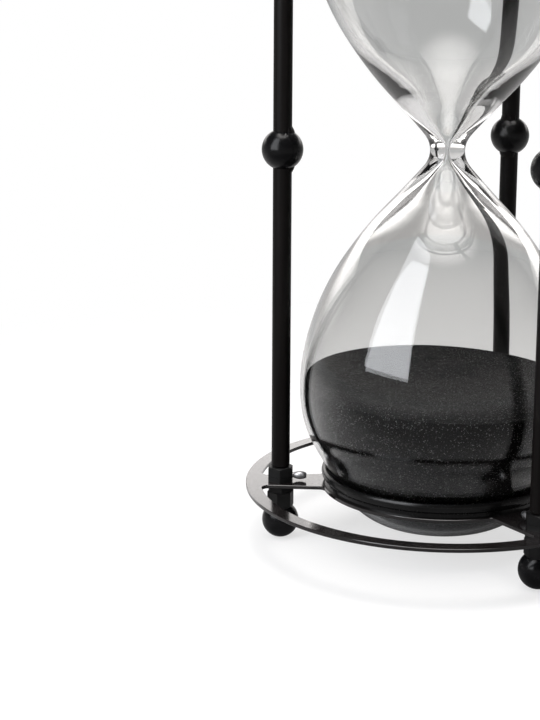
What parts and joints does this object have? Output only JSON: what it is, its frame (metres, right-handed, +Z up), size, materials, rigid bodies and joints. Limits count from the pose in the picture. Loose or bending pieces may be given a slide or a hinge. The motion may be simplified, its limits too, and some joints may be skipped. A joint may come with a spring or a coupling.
{
  "type": "hourglass",
  "caption": "Large hourglass: blown double bulb with black sand, held between two black ring plates on ball-footed posts.",
  "frame": {"origin": "on the surface that the lower ball feet stand on, on the axis of the glass", "axes": "+Z up along the glass axis, -X towards one post, +X between the other two"},
  "size_m": [0.212, 0.212, 0.428],
  "materials": {
    "plate_paint": "gloss",
    "frame_paint": "satin",
    "rod_paint": "satin",
    "ball_paint": "gloss",
    "fastener_paint": "satin",
    "screw_steel": "satin",
    "gasket_rubber": "matte",
    "glass": "polished",
    "sand": "matte"
  },
  "bodies": {
    "frame": {"lower_frame_plate": "plate_paint", "lower_cradle": "frame_paint", "lower_gasket": "gasket_rubber", "lower_rod_collars": "fastener_paint", "lower_lock_nuts": "fastener_paint", "lower_foot_nuts": "fastener_paint", "lower_set_screws": "screw_steel", "upper_frame_plate": "plate_paint", "upper_cradle": "frame_paint", "upper_gasket": "gasket_rubber", "upper_rod_collars": "fastener_paint", "upper_lock_nuts": "fastener_paint", "upper_foot_nuts": "fastener_paint", "upper_set_screws": "screw_steel", "left_post_rod": "rod_paint", "left_middle_ball": "ball_paint", "left_lower_foot_ball": "ball_paint", "left_upper_foot_ball": "ball_paint", "front_post_rod": "rod_paint", "front_middle_ball": "ball_paint", "front_lower_foot_ball": "ball_paint", "front_upper_foot_ball": "ball_paint", "back_post_rod": "rod_paint", "back_middle_ball": "ball_paint", "back_lower_foot_ball": "ball_paint", "back_upper_foot_ball": "ball_paint", "weld_beads": "rod_paint"},
    "glass": {"lower_bulb": "glass", "upper_bulb": "glass", "sand": "sand"}
  },
  "joints": [
    {"name": "glass_spin", "type": "hinge", "parent": "frame", "child": "glass", "pos_m": [0, 0, 0.214], "axis": [0, 0, 1], "continuous": true}
  ]
}
